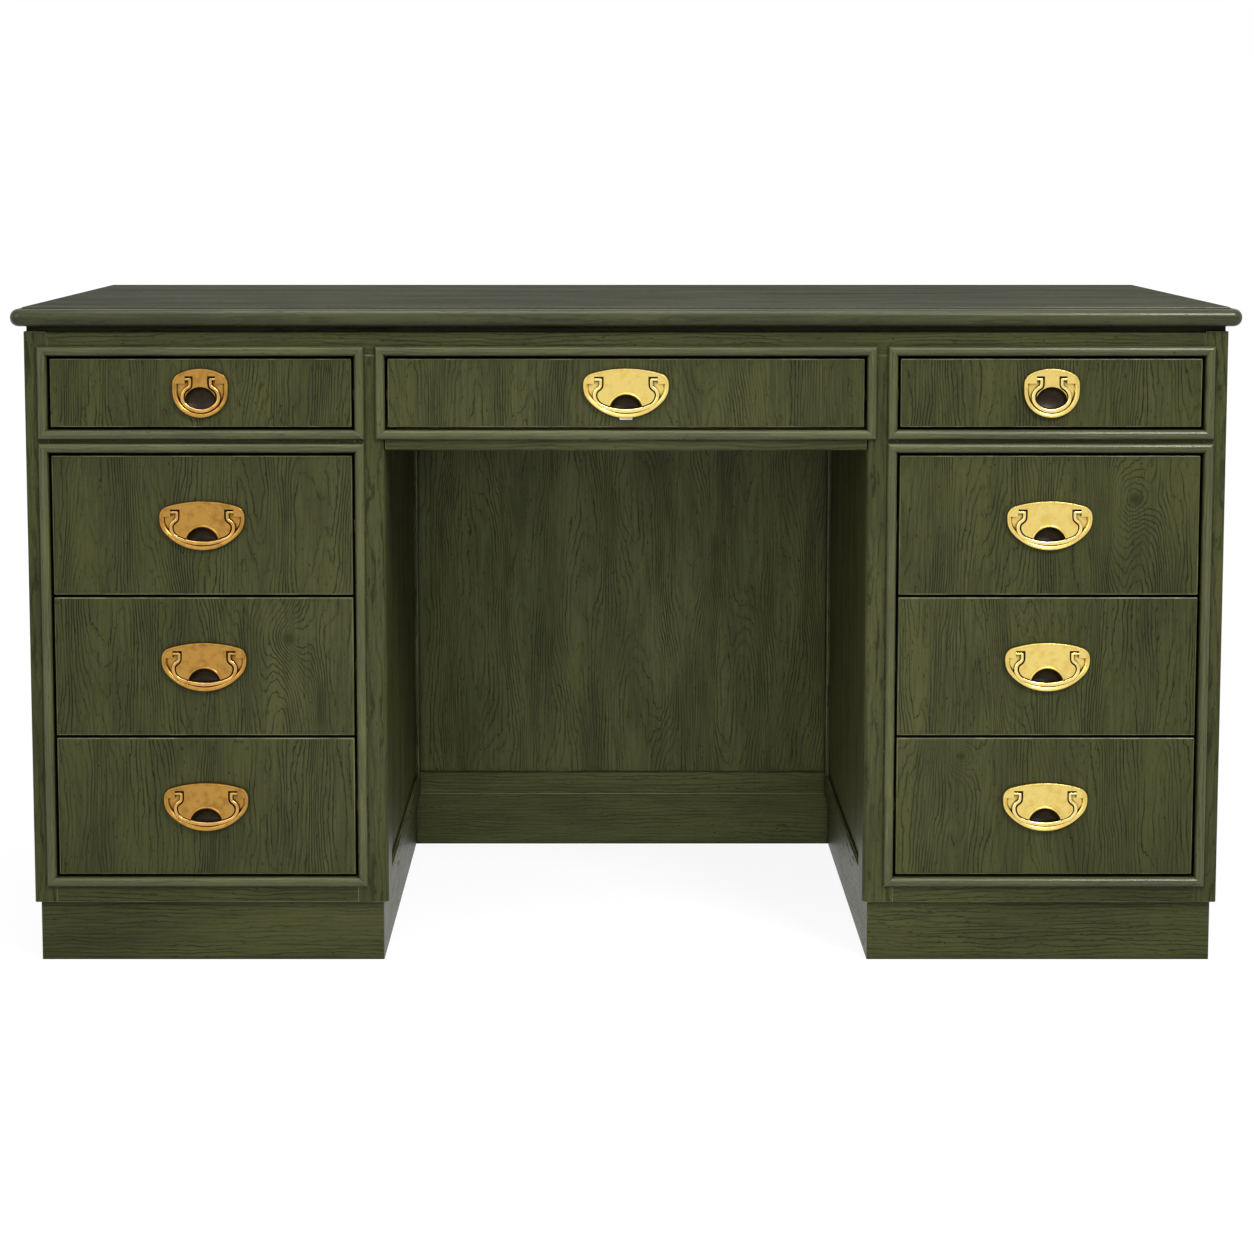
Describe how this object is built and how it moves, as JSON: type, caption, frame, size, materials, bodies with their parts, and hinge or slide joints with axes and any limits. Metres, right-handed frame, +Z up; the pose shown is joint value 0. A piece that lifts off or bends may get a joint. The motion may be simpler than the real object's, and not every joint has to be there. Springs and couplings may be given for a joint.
{
  "type": "kneehole pedestal desk",
  "caption": "Kneehole writing desk: two drawer pedestals on plinths, bullnosed top, mitred beads round the drawers, and let-in brass pulls with swinging bails.",
  "frame": {"origin": "on the floor, under the middle of the desktop", "axes": "+X to the right along the desk's length as seen from the sitter's side, +Y from the drawer fronts to the back, +Z up"},
  "size_m": [1.4, 0.59, 0.762],
  "materials": {
    "green_oak": "green stain under satin wax, lightly distressed",
    "drawer_oak": "planed and unstained",
    "antique_brass": "cast and aged",
    "bright_brass": "cast and polished"
  },
  "bodies": {
    "root": {"desktop": "green_oak", "neck_frame": "green_oak", "front_top_rail": "green_oak", "knee_rail": "green_oak", "back_rails": "green_oak", "pedestal_backs": "green_oak", "knee_back_panel": "green_oak", "knee_plinth": "green_oak", "centre_beads": "green_oak", "pedestal_shelves": "drawer_oak", "corner_blocks": "drawer_oak", "drawer_runners": "drawer_oak", "left_outer_frame": "green_oak", "left_knee_frame": "green_oak", "left_side_panels": "green_oak", "left_front_rails": "green_oak", "left_plinth": "green_oak", "left_beads": "green_oak", "right_outer_frame": "green_oak", "right_knee_frame": "green_oak", "right_side_panels": "green_oak", "right_front_rails": "green_oak", "right_plinth": "green_oak", "right_beads": "green_oak"},
    "left_top_drawer": {"left_top_drawer_front": "green_oak", "left_top_drawer_box": "drawer_oak", "left_top_pull_plate": "antique_brass"},
    "left_top_bail": {"left_top_pull_bail": "antique_brass"},
    "left_lower_drawer": {"left_lower_drawer_front": "green_oak", "left_lower_drawer_box": "drawer_oak", "left_lower_pull_plate": "antique_brass"},
    "left_lower_bail": {"left_lower_pull_bail": "antique_brass"},
    "left_middle_drawer": {"left_middle_drawer_front": "green_oak", "left_middle_drawer_box": "drawer_oak", "left_middle_pull_plate": "antique_brass"},
    "left_middle_bail": {"left_middle_pull_bail": "antique_brass"},
    "left_upper_drawer": {"left_upper_drawer_front": "green_oak", "left_upper_drawer_box": "drawer_oak", "left_upper_pull_plate": "antique_brass"},
    "left_upper_bail": {"left_upper_pull_bail": "antique_brass"},
    "right_top_drawer": {"right_top_drawer_front": "green_oak", "right_top_drawer_box": "drawer_oak", "right_top_pull_plate": "bright_brass"},
    "right_top_bail": {"right_top_pull_bail": "bright_brass"},
    "right_lower_drawer": {"right_lower_drawer_front": "green_oak", "right_lower_drawer_box": "drawer_oak", "right_lower_pull_plate": "bright_brass"},
    "right_lower_bail": {"right_lower_pull_bail": "bright_brass"},
    "right_middle_drawer": {"right_middle_drawer_front": "green_oak", "right_middle_drawer_box": "drawer_oak", "right_middle_pull_plate": "bright_brass"},
    "right_middle_bail": {"right_middle_pull_bail": "bright_brass"},
    "right_upper_drawer": {"right_upper_drawer_front": "green_oak", "right_upper_drawer_box": "drawer_oak", "right_upper_pull_plate": "bright_brass"},
    "right_upper_bail": {"right_upper_pull_bail": "bright_brass"},
    "centre_drawer": {"centre_drawer_front": "green_oak", "centre_drawer_box": "drawer_oak", "centre_pull_plate": "bright_brass"},
    "centre_bail": {"centre_pull_bail": "bright_brass"}
  },
  "joints": [
    {"name": "left_top_drawer_slide", "type": "slide", "parent": "root", "child": "left_top_drawer", "axis": [0, -1, 0], "range_m": [0, 0.37]},
    {"name": "left_top_bail_swing", "type": "hinge", "parent": "left_top_drawer", "child": "left_top_bail", "pos_m": [-0.485, -0.2838, 0.67975], "axis": [-1, 0, 0], "range_deg": [0, 90]},
    {"name": "left_lower_drawer_slide", "type": "slide", "parent": "root", "child": "left_lower_drawer", "axis": [0, -1, 0], "range_m": [0, 0.37]},
    {"name": "left_lower_bail_swing", "type": "hinge", "parent": "left_lower_drawer", "child": "left_lower_bail", "pos_m": [-0.485, -0.2838, 0.199], "axis": [-1, 0, 0], "range_deg": [0, 90]},
    {"name": "left_middle_drawer_slide", "type": "slide", "parent": "root", "child": "left_middle_drawer", "axis": [0, -1, 0], "range_m": [0, 0.37]},
    {"name": "left_middle_bail_swing", "type": "hinge", "parent": "left_middle_drawer", "child": "left_middle_bail", "pos_m": [-0.485, -0.2838, 0.363], "axis": [-1, 0, 0], "range_deg": [0, 90]},
    {"name": "left_upper_drawer_slide", "type": "slide", "parent": "root", "child": "left_upper_drawer", "axis": [0, -1, 0], "range_m": [0, 0.37]},
    {"name": "left_upper_bail_swing", "type": "hinge", "parent": "left_upper_drawer", "child": "left_upper_bail", "pos_m": [-0.485, -0.2838, 0.527], "axis": [-1, 0, 0], "range_deg": [0, 90]},
    {"name": "right_top_drawer_slide", "type": "slide", "parent": "root", "child": "right_top_drawer", "axis": [0, -1, 0], "range_m": [0, 0.37]},
    {"name": "right_top_bail_swing", "type": "hinge", "parent": "right_top_drawer", "child": "right_top_bail", "pos_m": [0.485, -0.2838, 0.67975], "axis": [-1, 0, 0], "range_deg": [0, 90]},
    {"name": "right_lower_drawer_slide", "type": "slide", "parent": "root", "child": "right_lower_drawer", "axis": [0, -1, 0], "range_m": [0, 0.37]},
    {"name": "right_lower_bail_swing", "type": "hinge", "parent": "right_lower_drawer", "child": "right_lower_bail", "pos_m": [0.485, -0.2838, 0.199], "axis": [-1, 0, 0], "range_deg": [0, 90]},
    {"name": "right_middle_drawer_slide", "type": "slide", "parent": "root", "child": "right_middle_drawer", "axis": [0, -1, 0], "range_m": [0, 0.37]},
    {"name": "right_middle_bail_swing", "type": "hinge", "parent": "right_middle_drawer", "child": "right_middle_bail", "pos_m": [0.485, -0.2838, 0.363], "axis": [-1, 0, 0], "range_deg": [0, 90]},
    {"name": "right_upper_drawer_slide", "type": "slide", "parent": "root", "child": "right_upper_drawer", "axis": [0, -1, 0], "range_m": [0, 0.37]},
    {"name": "right_upper_bail_swing", "type": "hinge", "parent": "right_upper_drawer", "child": "right_upper_bail", "pos_m": [0.485, -0.2838, 0.527], "axis": [-1, 0, 0], "range_deg": [0, 90]},
    {"name": "centre_drawer_slide", "type": "slide", "parent": "root", "child": "centre_drawer", "axis": [0, -1, 0], "range_m": [0, 0.33]},
    {"name": "centre_bail_swing", "type": "hinge", "parent": "centre_drawer", "child": "centre_bail", "pos_m": [0, -0.2838, 0.67925], "axis": [-1, 0, 0], "range_deg": [0, 90]}
  ]
}
